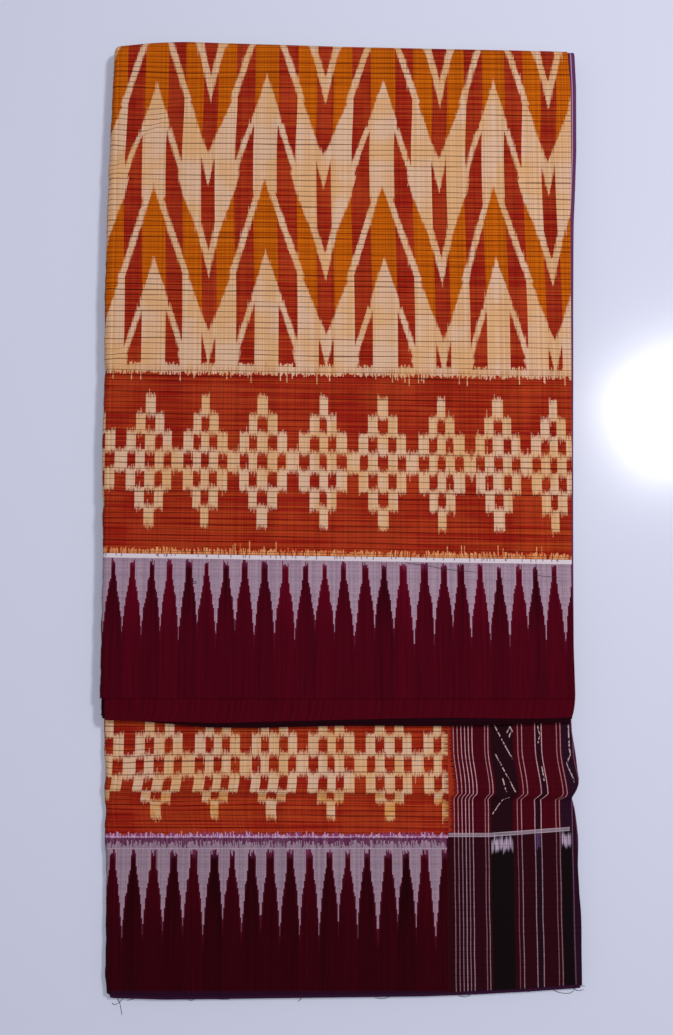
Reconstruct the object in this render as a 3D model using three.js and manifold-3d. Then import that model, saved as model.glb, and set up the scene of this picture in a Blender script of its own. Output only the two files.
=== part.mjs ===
// A handwoven ikat saree, folded into a flat packet that lies on a surface.
//
// The cloth, 5.5 m long and 1.19 m wide, is halved four times along its length. That makes a
// stack of sixteen layers, whose one big fold is the left edge and whose smaller folds and
// ends are the layered right edge. The far part of the stack is then turned over, as a flap
// that lies on the near part and leaves its border and end piece in view.
//
// Millimetres, +Z up. The packet rests on z = 0. Its length runs along Y, with the turned-over
// fold at +Y and the hems at -Y, and the origin is the middle of its footprint.

import * as THREE from 'three';
import * as BufferGeometryUtils from 'three/addons/utils/BufferGeometryUtils.js';
import Module from 'manifold-3d';

const wasm = await Module();
wasm.setup();

// Driving dimensions
const wall = 1.0; // a stretch of cloth that shows
const gap = 0.3; // between neighbouring pieces
const stack = 8.85; // sixteen pressed layers
const slot = 0.3; // between the flap and the stack under it
const foldLine = 348; // the outermost Y of the turned-over fold, at the packet's middle
const lowerHem = -349; // the near edge of the lower face, at the packet's middle
const selvedge = -144.8; // where the flap's top face ends
const leafHem = -159.5; // where the leaf under it ends
const palluSeam = 75.1; // the line between the body and the striped end piece

const edgeRadius = stack / 2; // of the big fold at the left edge
const middle = stack + slot / 2; // the height of the plane between flap and lower stack
const foldStart = foldLine - stack - slot / 2; // where the stack begins to turn over
const hemReach = 110; // how far up from a hem its curve is felt

// The packet's edges, in rows from the hems to the fold
const lowerEdges = [
  { y: -352, left: -164.6, right: 166.6 },
  { y: -337, left: -166.2, right: 167.0 },
  { y: -299, left: -167.0, right: 167.1 },
  { y: -270, left: -167.8, right: 165.8 },
  { y: -240, left: -169.6, right: 166.0 },
  { y: -223, left: -169.4, right: 164.7 },
  { y: -215, left: -170.0, right: 161.5 },
  { y: -210, left: -171.0, right: 164.4 },
  { y: -204, left: -169.6, right: 166.4 },
  { y: -189, left: -170.8, right: 164.6 },
  { y: -167, left: -172.0, right: 161.9 },
  { y: -100, left: -171.0, right: 161.6 },
  { y: 120, left: -172.4, right: 165.5 },
  { y: 300, left: -173.6, right: 170.0 },
  { y: 340, left: -173.9, right: 171.4 },
];
const flapEdges = [
  { y: -164, left: -173.6, right: 161.4, leafRight: 161.0 },
  { y: -156, left: -173.7, right: 163.0, leafRight: 164.2 },
  { y: -146, left: -173.4, right: 163.6, leafRight: 165.6 },
  { y: -110, left: -173.5, right: 164.2, leafRight: 165.2 },
  { y: -45, left: -173.6, right: 165.0, leafRight: 166.4 },
  { y: 42, left: -176.1, right: 167.1, leafRight: 168.4 },
  { y: 87, left: -175.4, right: 168.0, leafRight: 169.6 },
  { y: 147, left: -176.8, right: 169.0, leafRight: 171.0 },
  { y: 208, left: -176.6, right: 170.2, leafRight: 172.8 },
  { y: 236, left: -176.2, right: 171.2, leafRight: 174.6 },
  { y: 266, left: -175.6, right: 172.1, leafRight: 176.2 },
  { y: 316, left: -174.6, right: 172.8, leafRight: 177.3 },
  { y: 340, left: -173.9, right: 171.4, leafRight: 176.7 },
];

// How far the fold and the hems leave a straight line, by their place across the packet
const foldShift = [
  { x: -174, shift: 0.6 },
  { x: -145, shift: 3.6 },
  { x: -120, shift: 4.6 },
  { x: -71, shift: 2.8 },
  { x: 5, shift: 0.4 },
  { x: 135, shift: -2.5 },
  { x: 177, shift: -3.7 },
];
const lowerHemShift = [
  { x: -171, shift: 0 },
  { x: -122, shift: -1.5 },
  { x: -72, shift: -0.7 },
  { x: 67, shift: 1.0 },
  { x: 121, shift: 3.4 },
  { x: 167, shift: 6.7 },
];
const leafHemShift = [
  { x: -173, shift: -0.4 },
  { x: -88, shift: -2.5 },
  { x: -10, shift: -0.5 },
  { x: 71, shift: 1.3 },
  { x: 165, shift: 4.7 },
];

// Leaves of the hidden stack: depth from the inner side, and how far each stands proud of
// the face's right edge, of the lower hem and of the flap's core
const hiddenLeaves = [
  { depth: 1.5, right: -1.2, lowerHem: 0.6, flapHem: 8.6 },
  { depth: 2.8, right: 0.9, lowerHem: 2.4, flapHem: 7.2 },
  { depth: 4.1, right: -0.4, lowerHem: 1.2, flapHem: 8.9 },
  { depth: 5.35, right: 1.2, lowerHem: 3.2, flapHem: 5.8 },
];
const leafThickness = 0.85;
const leafLeftInset = 7; // from the left edge, inside the core
const coreRightInset = 5;
const coreHemInset = 5;
const coreCurl = 84; // degrees round the left fold, from each side

// The largest creases: the middle, half length and half width of each, its turn from +X in
// degrees, and its height
const flapCreases = [
  { x: -148, y: 279, turn: 38, length: 36, width: 11, height: 0.9 },
  { x: -165, y: 110, turn: 42, length: 16, width: 10, height: 0.8 },
  { x: -150, y: -16, turn: 6, length: 34, width: 14, height: 0.7 },
  { x: 40, y: 160, turn: 80, length: 90, width: 26, height: 0.5 },
  { x: 118, y: -60, turn: 95, length: 80, width: 22, height: 0.5 },
  { x: -60, y: -95, turn: 88, length: 60, width: 24, height: 0.4 },
];
const lowerCreases = [
  { x: -130, y: -226, turn: -8, length: 46, width: 9, height: 0.9 },
  { x: 20, y: -268, turn: 4, length: 70, width: 16, height: 0.5 },
  { x: 120, y: -300, turn: 94, length: 40, width: 20, height: 0.5 },
];

// The full-width tuck across the lower stretch: the cloth above the line bulges over it
const tuck = { left: -210, right: -214.5, height: 2.2, reach: 30, drop: 2.5 };

// Stations along the stack, from the lower hem, round the fold, to the flap's hem
const lowerRows = [-335, -318, -299, -280, -262, -246, -234, -224, -217.5, -215, -212.5, -209,
  -204, -198, -190, -180, -167, -140, -60, 40, 140, 240, 300, 335];
const foldAngles = [-90, -68, -46, -26, -8, 6, 26, 46, 68, 90];
const flapRows = [334, 316, 300, 284, 268, 248, 215, 180, 145, 125, 108, 90, 55, 15, -2, -18, -36,
  -60, -78, -96, -112, -130];

const faceColumns = 15; // across a face, on its flat part
const leafColumns = 9; // across a hidden layer
const curlStep = 25; // degrees, round the left edge

// Reads a column of a table at a place between its rows
function readTable(table, key, place, column) {
  const last = table.length - 1;
  const next = table.findIndex((row) => row[key] > place);
  if (next === 0) return table[0][column];
  if (next < 0) return table[last][column];
  const share = (place - table[next - 1][key]) / (table[next][key] - table[next - 1][key]);
  return THREE.MathUtils.lerp(table[next - 1][column], table[next][column], share);
}

function edgesAt(station) {
  const table = station.leg === 'lower' ? lowerEdges : flapEdges;
  const left = readTable(table, 'y', station.y, 'left');
  const right = readTable(table, 'y', station.y, 'right');
  const leafRight = station.leg === 'lower' ? right : readTable(table, 'y', station.y, 'leafRight');
  return { left, right, leafRight };
}

// A point of the stack: x across, depth from the inner side outwards
function stackPoint(x, station, depth) {
  const nearHem = station.leg === 'lower' ? lowerHem : leafHem;
  const hemTable = station.leg === 'lower' ? lowerHemShift : leafHemShift;
  const towardsFold = THREE.MathUtils.smoothstep(station.y, nearHem, foldStart);
  const fromHem = 1 - THREE.MathUtils.smoothstep(station.y, nearHem, nearHem + hemReach);
  const hemPart = station.straightHem ? 0 : readTable(hemTable, 'x', x, 'shift') * fromHem;
  const y = station.y + readTable(foldShift, 'x', x, 'shift') * towardsFold + hemPart;
  const reach = slot / 2 + depth;
  if (station.leg === 'lower') return new THREE.Vector3(x, y, middle - reach);
  if (station.leg === 'flap') return new THREE.Vector3(x, y, middle + reach);
  const angle = THREE.MathUtils.degToRad(station.angle);
  return new THREE.Vector3(x, y + reach * Math.cos(angle), middle + reach * Math.sin(angle));
}

// Soft ridges
function creaseRise(creases, x, y) {
  let rise = 0;
  for (const crease of creases) {
    const turn = THREE.MathUtils.degToRad(crease.turn);
    const along = (x - crease.x) * Math.cos(turn) + (y - crease.y) * Math.sin(turn);
    const across = (y - crease.y) * Math.cos(turn) - (x - crease.x) * Math.sin(turn);
    rise += crease.height * Math.exp(-((along / crease.length) ** 2) - (across / crease.width) ** 2);
  }
  return rise;
}

function tuckRise(x, y) {
  const share = THREE.MathUtils.mapLinear(x, lowerEdges[0].left, lowerEdges[0].right, 0, 1);
  const above = y - THREE.MathUtils.lerp(tuck.left, tuck.right, share);
  if (above < 0) return tuck.height * (1 - THREE.MathUtils.smoothstep(-above, 0, tuck.drop));
  return tuck.height * (1 - THREE.MathUtils.smoothstep(above, 0, tuck.reach));
}

function riseAt(x, station) {
  if (station.leg === 'flap') return creaseRise(flapCreases, x, station.y);
  if (station.leg === 'fold' || station.y > tuck.left + tuck.reach + 5) return 0;
  return creaseRise(lowerCreases, x, station.y) + tuckRise(x, station.y);
}

// Lists of stations
const lowerStation = (y) => ({ leg: 'lower', y });
const foldStation = (angle) => ({ leg: 'fold', y: foldStart, angle });
const flapStation = (y) => ({ leg: 'flap', y });

// Places across the flat part of one row, from its right end to its left end
function flatPlaces(from, to, columns, depth) {
  const places = [];
  for (let i = 0; i < columns; i += 1) {
    places.push({ x: THREE.MathUtils.lerp(from, to, i / (columns - 1)), depth, lift: 1 });
  }
  return places;
}

// Places round the left fold, by curl degrees from the flat part. Side 1 starts at the stack's
// outer side and -1 at its inner side; inset is the distance inside the cloth's outer surface.
function curlPlaces(left, side, curl, inset) {
  const places = [];
  const steps = Math.ceil(curl / curlStep);
  const radius = edgeRadius - inset;
  for (let i = 1; i <= steps; i += 1) {
    const angle = THREE.MathUtils.degToRad((curl * i) / steps);
    const x = left + edgeRadius - radius * Math.sin(angle);
    const depth = edgeRadius + side * radius * Math.cos(angle);
    places.push({ x, depth, lift: Math.max(0, Math.cos(angle)) });
  }
  return places;
}

// One surface of a face, as rows of points. The face runs from its right edge, or from a
// seam, to a seam or round the left fold.
function faceRows(stations, face, inset) {
  const depth = face.side > 0 ? stack - inset : inset;
  return stations.map((station) => {
    const { left, right } = edgesAt(station);
    const flat = flatPlaces(face.from ?? right, face.to ?? left + edgeRadius, face.columns, depth);
    const curl = curlPlaces(left, face.side, face.curl, inset);
    return [...flat, ...curl].map((place) => {
      const rise = face.rests ? 0 : riseAt(place.x, station) * place.lift;
      return stackPoint(place.x, station, place.depth + face.side * rise);
    });
  });
}

// A closed solid between two surfaces that have the same rows and columns
function solidBetween(outer, inner) {
  const rows = outer.length;
  const columns = outer[0].length;
  const points = [...outer.flat(), ...inner.flat()];
  const faces = [];
  const quad = (a, b, c, d) => faces.push(a, b, c, a, c, d);
  const top = (row, column) => row * columns + column;
  const under = (row, column) => rows * columns + top(row, column);
  for (let row = 0; row < rows - 1; row += 1) {
    for (let column = 0; column < columns - 1; column += 1) {
      quad(top(row, column), top(row, column + 1), top(row + 1, column + 1), top(row + 1, column));
      quad(under(row + 1, column), under(row + 1, column + 1), under(row, column + 1), under(row, column));
    }
    const end = columns - 1;
    quad(top(row + 1, 0), under(row + 1, 0), under(row, 0), top(row, 0));
    quad(top(row, end), under(row, end), under(row + 1, end), top(row + 1, end));
  }
  for (let column = 0; column < columns - 1; column += 1) {
    const end = rows - 1;
    quad(top(0, column), under(0, column), under(0, column + 1), top(0, column + 1));
    quad(top(end, column + 1), under(end, column + 1), under(end, column), top(end, column));
  }
  return facingOut(points, faces);
}

// Six times the volume that the faces enclose is below zero where they point inwards
function facingOut(points, faces) {
  let volume = 0;
  for (let i = 0; i < faces.length; i += 3) {
    const [a, b, c] = [points[faces[i]], points[faces[i + 1]], points[faces[i + 2]]];
    volume += a.dot(new THREE.Vector3().crossVectors(b, c));
  }
  if (volume < 0) faces.reverse();
  const geometry = new THREE.BufferGeometry();
  const numbers = points.flatMap((point) => point.toArray());
  geometry.setAttribute('position', new THREE.Float32BufferAttribute(numbers, 3));
  geometry.setIndex(faces);
  return geometry;
}

function clothWall(stations, face) {
  return solidBetween(faceRows(stations, face, 0), faceRows(stations, face, wall));
}

// The hidden core: the stack without its outer walls. Its depths change where a leaf or a
// face lies on it.
const coreInner = (station) => (station.leg === 'lower' ? wall + gap : 0);
const coreOuter = (station) => {
  const leafAbove = station.leg === 'flap' || (station.leg === 'fold' && station.angle > 0);
  return stack - (leafAbove ? 2 : 1) * (wall + gap);
};

function coreRows(stations, side) {
  return stations.map((station) => {
    const { left, right } = edgesAt(station);
    const [low, high] = [coreInner(station), coreOuter(station)];
    const flatEnd = left + edgeRadius + gap;
    const flat = flatPlaces(right - coreRightInset, flatEnd, leafColumns, side > 0 ? high : low);
    const curl = curlPlaces(left, side, coreCurl, wall + gap);
    return [...flat, ...curl].map(({ x, depth }) => (
      stackPoint(x, station, THREE.MathUtils.clamp(depth, low, high))
    ));
  });
}

function leafRows(stations, depth, standsProud) {
  return stations.map((station) => {
    const { left, right } = edgesAt(station);
    const places = flatPlaces(right + standsProud, left + leafLeftInset, leafColumns, depth);
    return places.map(({ x }) => stackPoint(x, station, depth));
  });
}

function toManifold(geometry) {
  const mesh = BufferGeometryUtils.mergeVertices(geometry);
  return new wasm.Manifold(new wasm.Mesh({
    numProp: 3,
    vertProperties: new Float32Array(mesh.getAttribute('position').array),
    triVerts: new Uint32Array(mesh.getIndex().array),
  }));
}

function fromManifold(solid) {
  const { vertProperties, triVerts } = solid.getMesh();
  const geometry = new THREE.BufferGeometry();
  geometry.setAttribute('position', new THREE.BufferAttribute(new Float32Array(vertProperties), 3));
  geometry.setIndex(new THREE.BufferAttribute(new Uint32Array(triVerts), 1));
  return geometry;
}

function hiddenLayers() {
  const flapCoreHem = leafHem + coreHemInset;
  const core = [
    ...[lowerHem + coreHemInset, ...lowerRows, foldStart - gap].map(lowerStation),
    ...foldAngles.map(foldStation),
    ...[...flapRows, flapCoreHem].map(flapStation),
  ];
  let solid = toManifold(solidBetween(coreRows(core, 1), coreRows(core, -1)));
  for (const leaf of hiddenLeaves) {
    const stations = [
      lowerStation(lowerHem - leaf.lowerHem),
      ...core,
      flapStation(flapCoreHem - leaf.flapHem),
    ];
    const outer = leafRows(stations, leaf.depth + leafThickness, leaf.right);
    const inner = leafRows(stations, leaf.depth, leaf.right);
    solid = solid.add(toManifold(solidBetween(outer, inner)));
  }
  return fromManifold(solid);
}

// The stretches of cloth that show
function flapFace() {
  const stations = [
    ...foldAngles.map(foldStation),
    ...flapRows.map(flapStation),
    { ...flapStation(selvedge), straightHem: true },
  ];
  return clothWall(stations, { side: 1, curl: 125, columns: faceColumns });
}

function secondLeaf() {
  const outer = stack - wall - gap;
  const stations = [
    ...foldAngles.filter((angle) => angle > 0).map(foldStation),
    ...[...flapRows, -146, -152, leafHem].map(flapStation),
  ];
  const surface = (depth) => stations.map((station) => {
    const { left, leafRight } = edgesAt(station);
    const places = flatPlaces(leafRight, left + edgeRadius, leafColumns, depth);
    return places.map(({ x }) => stackPoint(x, station, depth));
  });
  return solidBetween(surface(outer), surface(outer - wall));
}

const lowerStations = [lowerHem, ...lowerRows].map(lowerStation);

function lowerFace() {
  return clothWall(lowerStations, { side: -1, curl: 96, columns: faceColumns, from: palluSeam - gap / 2 });
}

function palluFace() {
  return clothWall(lowerStations, { side: -1, curl: 0, columns: 8, to: palluSeam + gap / 2 });
}

function backFace() {
  const stations = [lowerHem - 2, ...lowerRows, foldStart - gap].map(lowerStation);
  return clothWall(stations, { side: 1, curl: 78, columns: 7, rests: true });
}

function piece(name, geometry, color, roughness) {
  const material = new THREE.MeshStandardMaterial({ color, roughness, metalness: 0 });
  const mesh = new THREE.Mesh(geometry, material);
  mesh.name = name;
  return mesh;
}

const saree = new THREE.Group();
saree.add(
  piece('hidden_layers', hiddenLayers(), 0x5b2f55, 0.85),
  piece('back_face', backFace(), 0xa0401a, 0.8),
  piece('lower_face', lowerFace(), 0xa03214, 0.8),
  piece('pallu_face', palluFace(), 0x3c060e, 0.75),
  piece('second_leaf', secondLeaf(), 0x4a0612, 0.8),
  piece('flap_face', flapFace(), 0xb86a28, 0.8),
);

export default saree;
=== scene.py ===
# %% [markdown]
# # A folded ikat saree
# This lesson dresses a flat packet of cloth. A saree 5.5 m long is halved four times, and the
# far part of the stack is then turned over as a flap. The plain solids already have the right
# size and place, so everything here is about looks: thin curved sheets for the cloth, and
# materials that weave the pattern out of arithmetic instead of pictures.

# %% Load the fixed frame
from math import cos, exp, pi, radians, sin

import bmesh
import bpy
import numpy as np
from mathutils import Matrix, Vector, noise


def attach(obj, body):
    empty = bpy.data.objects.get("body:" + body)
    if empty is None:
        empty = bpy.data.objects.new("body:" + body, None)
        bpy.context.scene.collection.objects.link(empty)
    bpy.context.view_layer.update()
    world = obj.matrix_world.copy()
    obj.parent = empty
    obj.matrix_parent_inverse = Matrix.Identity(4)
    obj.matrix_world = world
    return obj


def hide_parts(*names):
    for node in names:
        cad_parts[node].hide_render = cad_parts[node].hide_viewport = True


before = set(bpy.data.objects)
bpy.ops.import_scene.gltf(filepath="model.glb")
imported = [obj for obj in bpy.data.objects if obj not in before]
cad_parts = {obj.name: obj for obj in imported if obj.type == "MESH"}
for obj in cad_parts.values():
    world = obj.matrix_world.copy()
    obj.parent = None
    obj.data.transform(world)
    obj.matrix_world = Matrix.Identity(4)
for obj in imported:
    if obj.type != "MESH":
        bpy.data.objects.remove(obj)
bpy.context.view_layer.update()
MM = 0.001

# %% [markdown]
# ## Camera and light
# The photograph looks almost straight down, from a little nearer the hems. A camera far away
# with a long lens would also frame the packet, but the real one is close, and that shows in
# how the far end narrows. So the distance was worked out first, and the lens follows from it.

# %% Camera at the photograph's angle
CAMERA_LEAN = radians(6.2)
CAMERA_AWAY = 0.778
LENS_PER_HEIGHT = 1050 / 1035  # focal length over image height, in pixels of the photograph
AIM = Vector((-4.4, -13.5, 0)) * MM

camera_data = bpy.data.cameras.new("camera")
camera_data.sensor_width = 36
camera_data.lens = camera_data.sensor_width * LENS_PER_HEIGHT
camera = bpy.data.objects.new("camera", camera_data)
camera.location = AIM + CAMERA_AWAY * Vector((0, -sin(CAMERA_LEAN), cos(CAMERA_LEAN)))
camera.rotation_euler = (CAMERA_LEAN, 0, 0)
bpy.context.scene.collection.objects.link(camera)
bpy.context.scene.camera = camera
bpy.context.scene.view_settings.view_transform = "Standard"
print("lens", round(camera_data.lens, 2), "mm, camera at", tuple(round(c, 3) for c in camera.location))

# %% [markdown]
# The photograph has a large soft light overhead and a smaller lamp up to the right, which leaves
# a bright patch on the floor and a narrow shadow at the left edge. The lamp stands where a
# mirror on the floor would show it at that patch. A pale sky fills the rest.


# %% Window light, fill and floor
def area_lamp(name, place, size, power, colour):
    lamp = bpy.data.lights.new(name, "AREA")
    lamp.shape = "RECTANGLE"
    lamp.size, lamp.size_y = size
    lamp.energy = power
    lamp.color = colour
    holder = bpy.data.objects.new(name, lamp)
    holder.location = place
    holder.rotation_euler = (-Vector(place)).to_track_quat("-Z", "Y").to_euler()
    bpy.context.scene.collection.objects.link(holder)


area_lamp("lamp", (0.698, 0.361, 1.392), (0.2, 0.2), 12.6, (1.0, 0.99, 0.97))
area_lamp("ceiling", (0.1, 0.15, 2.4), (0.9, 0.9), 17.5, (1.0, 0.98, 0.96))

world = bpy.data.worlds.new("room")
world.use_nodes = True
sky = world.node_tree.nodes["Background"]
sky.inputs["Color"].default_value = (0.84, 0.86, 0.98, 1)
sky.inputs["Strength"].default_value = 0.37
bpy.context.scene.world = world

floor_mesh = bmesh.new()
bmesh.ops.create_grid(floor_mesh, x_segments=1, y_segments=1, size=8)
floor_data = bpy.data.meshes.new("floor")
floor_mesh.to_mesh(floor_data)
floor_mesh.free()
floor = bpy.data.objects.new("floor", floor_data)
bpy.context.scene.collection.objects.link(floor)

floor_paint = bpy.data.materials.new("pale_floor")
floor_paint.use_nodes = True
floor_shader = floor_paint.node_tree.nodes["Principled BSDF"]
floor_shader.inputs["Base Color"].default_value = (0.59, 0.612, 0.74, 1)
floor_shader.inputs["Roughness"].default_value = 0.17
floor_shader.inputs["Specular IOR Level"].default_value = 0.2
floor.data.materials.append(floor_paint)

# %% [markdown]
# ## The shape of the stack
# Every layer follows one path: from the lower hem along the surface, round the turned-over
# fold, and back along the top to the flap's hem. A layer is then a depth in that stack. If
# each sheet had a formula of its own, neighbours would cut through each other somewhere.

# %% Sizes of the stack, in millimetres
STACK = 8.85
SLOT = 0.3
MIDDLE = STACK + SLOT / 2
EDGE_RADIUS = STACK / 2
FOLD_LINE = 348
FOLD_START = FOLD_LINE - STACK - SLOT / 2
LOWER_HEM = -349
SELVEDGE = -144.8
LEAF_HEM = -159.5
HEM_REACH = 110  # how far up from a hem its curve is felt
PALLU_SEAM = 75.1
CLOTH = 0.45  # the thickness of one sheet

# columns: y, left, right
LOWER_EDGES = [
    (-352, -165.6, 166.6), (-337, -166.9, 167.0), (-299, -167.4, 167.1), (-270, -167.8, 165.8),
    (-240, -169.6, 166.0), (-223, -169.4, 164.7), (-215, -170.0, 161.9), (-210, -171.0, 165.8),
    (-204, -169.6, 168.2), (-189, -170.8, 166.4), (-167, -172.0, 163.6), (-100, -171.0, 161.6),
    (120, -172.4, 165.5), (300, -173.6, 170.0), (340, -173.9, 171.4),
]
# columns: y, left, right, right edge of the leaf below
FLAP_EDGES = [
    (-164, -173.6, 161.4, 161.0), (-156, -173.7, 163.0, 164.2), (-146, -173.4, 163.6, 165.6),
    (-110, -173.5, 164.2, 165.2), (-45, -173.6, 165.0, 166.4), (42, -176.1, 167.1, 168.4),
    (87, -175.4, 168.0, 169.6), (147, -176.8, 169.0, 171.0), (208, -176.6, 170.2, 172.8),
    (236, -176.2, 171.2, 174.6), (266, -175.6, 172.1, 176.2), (316, -174.6, 172.8, 177.3),
    (340, -173.9, 171.4, 176.7),
]
# columns: x, how far the line leaves its mean
FOLD_SHIFT = [(-174, 0.6), (-145, 3.6), (-120, 4.6), (-71, 2.8), (5, 0.4), (135, -2.5), (177, -3.7)]
LOWER_HEM_SHIFT = [(-171, 0), (-122, -1.5), (-72, -0.7), (67, 1.0), (121, 3.4), (167, 6.7)]
LEAF_HEM_SHIFT = [(-173, -0.4), (-88, -2.5), (-10, -0.5), (71, 1.3), (165, 4.7)]


# %% Read a table as a smooth curve
def curve_of(rows, column, softness):
    """Gives a function that reads one column, with its corners rounded over softness mm."""
    places = np.array([row[0] for row in rows], float)
    values = np.array([row[column] for row in rows], float)
    samples = np.arange(places[0] - 60, places[-1] + 60, 1.0)
    kernel = np.hanning(2 * softness + 3)[1:-1]
    padded = np.pad(np.interp(samples, places, values), softness, mode="edge")
    smooth = np.convolve(padded, kernel / kernel.sum(), mode="valid")
    return lambda place: float(np.interp(place, samples, smooth))


EDGE_WAVES = [(11, 0.8), (4, 0.4)]  # the length and height of the small waves of a soft edge
EDGE_SEED = 31


def worn_edge(curve):
    def edge(y):
        place = curve(y)
        for length, height in EDGE_WAVES:
            place += height * noise.noise(Vector((y / length, 0, EDGE_SEED)))
        return place
    return edge


lower_left, lower_right = worn_edge(curve_of(LOWER_EDGES, 1, 4)), curve_of(LOWER_EDGES, 2, 3)
flap_left, flap_right = worn_edge(curve_of(FLAP_EDGES, 1, 14)), curve_of(FLAP_EDGES, 2, 10)
leaf_right = curve_of(FLAP_EDGES, 3, 6)
fold_shift = curve_of(FOLD_SHIFT, 1, 12)
lower_hem_shift = curve_of(LOWER_HEM_SHIFT, 1, 12)
leaf_hem_shift = curve_of(LEAF_HEM_SHIFT, 1, 12)
print("packet width at its middle:", round(flap_right(0) - flap_left(0), 1), "mm")

# %% [markdown]
# A place along the path is a distance in millimetres from the lower hem. Below the fold the
# layers count down from the middle plane, above it they count up, and in between they turn
# through half a circle.

# %% Places along the path
FOLD_LENGTH = pi * MIDDLE
LOWER_LENGTH = FOLD_START - LOWER_HEM


def smoothstep(value, low, high):
    share = min(max((value - low) / (high - low), 0), 1)
    return share * share * (3 - 2 * share)


def path_place(along):
    """Gives y and the turn of the path, which is -90 degrees below the fold and 90 above."""
    if along <= LOWER_LENGTH:
        return LOWER_HEM + along, -pi / 2
    past = along - LOWER_LENGTH
    if past < FOLD_LENGTH:
        return FOLD_START, pi * (past / FOLD_LENGTH - 0.5)
    return FOLD_START - (past - FOLD_LENGTH), pi / 2


def along_flap(y):
    return LOWER_LENGTH + FOLD_LENGTH + FOLD_START - y


def path_edges(y, turn):
    if turn < 0 and y < FOLD_START:
        return lower_left(y), lower_right(y)
    return flap_left(y), flap_right(y)


def stack_shift(x, along, free_hem=1):
    """How far the fold's and the hem's own curves move this place along the packet."""
    y, turn = path_place(along)
    below_fold = turn < 0 and y < FOLD_START
    nearest_hem = LOWER_HEM if below_fold else LEAF_HEM
    hem = lower_hem_shift(x) if below_fold else leaf_hem_shift(x) * free_hem
    from_hem = 1 - smoothstep(y, nearest_hem, nearest_hem + HEM_REACH)
    return fold_shift(x) * smoothstep(y, nearest_hem, FOLD_START) + hem * from_hem


def stack_point(x, along, depth, free_hem=1):
    y, turn = path_place(along)
    reach = SLOT / 2 + depth
    centre = y + stack_shift(x, along, free_hem)
    return Vector((x, centre + reach * cos(turn), MIDDLE + reach * sin(turn)))


# %% [markdown]
# ## Soft relief
# Pressed cotton is never quite flat. A few named creases are placed where the
# photograph shows them, each one a long soft ridge, and smooth noise adds the faint swell that
# the folded layers below push up. A cloth simulation would put creases where it likes, and
# here their places are known, so they are modelled directly.

# %% Creases placed one by one
# columns: x, y, turn in degrees, half length, half width, height, cloth taken in by the crease
FLAP_CREASES = [
    (-150, 268, 46, 22, 2.2, 1.5, 3.0), (-139, 281, 30, 26, 3.4, -0.7, 0),
    (-128, 292, 22, 34, 4.5, 1.1, 1.6), (-165, 252, 62, 14, 2.6, 1.2, 1.0),
    (-118, 306, 16, 40, 5.0, 0.7, 0.8), (-163, 108, 48, 16, 3.4, 1.3, 1.2),
    (-169, 92, 60, 13, 2.6, 0.9, 0), (-108, 322, 12, 46, 7.0, 0.5, 0),
    (-148, -14, 6, 34, 6.0, 0.9, 0.8), (-165, 20, 74, 18, 4.0, 0.8, 0),
    (-157, 2, -14, 20, 3.4, 0.8, 0.6), (-60, 190, 83, 80, 20, 0.45, 0),
    (40, 150, 80, 95, 24, 0.5, 0), (118, -60, 95, 80, 20, 0.5, 0),
    (-60, -95, 88, 60, 20, 0.5, 0), (84, 300, 8, 60, 9.0, 0.4, 0),
    (10, -30, 4, 80, 10, 0.4, 0), (150, 80, 100, 70, 12, 0.5, 0),
    (-168, 168, 80, 20, 3.0, 0.7, 0), (-30, 318, -6, 60, 6.0, 0.4, 0),
    (140, 318, -10, 34, 5.0, 0.5, 0),
]
LOWER_CREASES = [
    (-140, -217, -12, 30, 2.4, 1.2, 1.6), (-118, -226, 8, 44, 2.6, 0.9, 1.0),
    (-160, -203, -26, 14, 2.4, 1.0, 1.0), (-156, -192, 14, 18, 3.0, 0.7, 0.8),
    (20, -268, 4, 70, 12, 0.4, 0), (120, -296, 94, 40, 14, 0.5, 0),
    (-70, -310, 80, 40, 18, 0.45, 0), (-128, -318, 12, 60, 9.0, 0.4, 0),
    (60, -222, -3, 60, 2.6, 0.5, 0), (140, -190, 80, 20, 8.0, 0.5, 0),
    (-10, -205, 6, 70, 5.0, 0.4, 0),
]
CREASE_REACH = 26  # mm past a crease over which the cloth that it takes in comes back
FLAP_COVERS = -165  # above this y the flap hides the lower stretch, which is then smooth
RELIEF_ENDS = 20  # mm over which the lower stretch turns smooth
TUCK_LEFT, TUCK_RIGHT = -210.0, -214.5
TUCK_HEIGHT, TUCK_REACH, TUCK_DROP = 2.2, 30.0, 2.2


def ridge(creases, x, y):
    """The height of all the creases at a place, and the cloth that they take in below it."""
    rise = taken = 0
    for middle_x, middle_y, turn, length, width, height, takes in creases:
        along = (x - middle_x) * cos(radians(turn)) + (y - middle_y) * sin(radians(turn))
        across = (y - middle_y) * cos(radians(turn)) - (x - middle_x) * sin(radians(turn))
        if abs(along) < 3 * length:
            share = exp(-((along / length) ** 2))
            rise += height * share * exp(-((across / width) ** 2))
            if takes:
                comes_back = exp(-((max(across, 0) / CREASE_REACH) ** 2))
                taken += takes * share * smoothstep(across, -width, width) * comes_back
    return rise, taken


def swell(x, y, size, height, seed):
    return height * (0.5 + 0.5 * noise.noise(Vector((x / size, y / size, seed))))


# %% The full-width tuck of the lower stretch
def tuck_line(x):
    share = (x + 171) / 338
    return TUCK_LEFT + (TUCK_RIGHT - TUCK_LEFT) * share + 0.8 * noise.noise(Vector((x / 40, 0, 3)))


def tuck_rise(x, y):
    above = y - tuck_line(x)
    if above < 0:
        return TUCK_HEIGHT * (1 - smoothstep(-above, 0, TUCK_DROP))
    return TUCK_HEIGHT * (1 - smoothstep(above, 0, TUCK_REACH))


def flap_rise(x, y):
    swells = swell(x, y, 46, 0.5, 1) + swell(x, y, 17, 0.22, 2)
    return max(0, ridge(FLAP_CREASES, x, y)[0] + swells)


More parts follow.
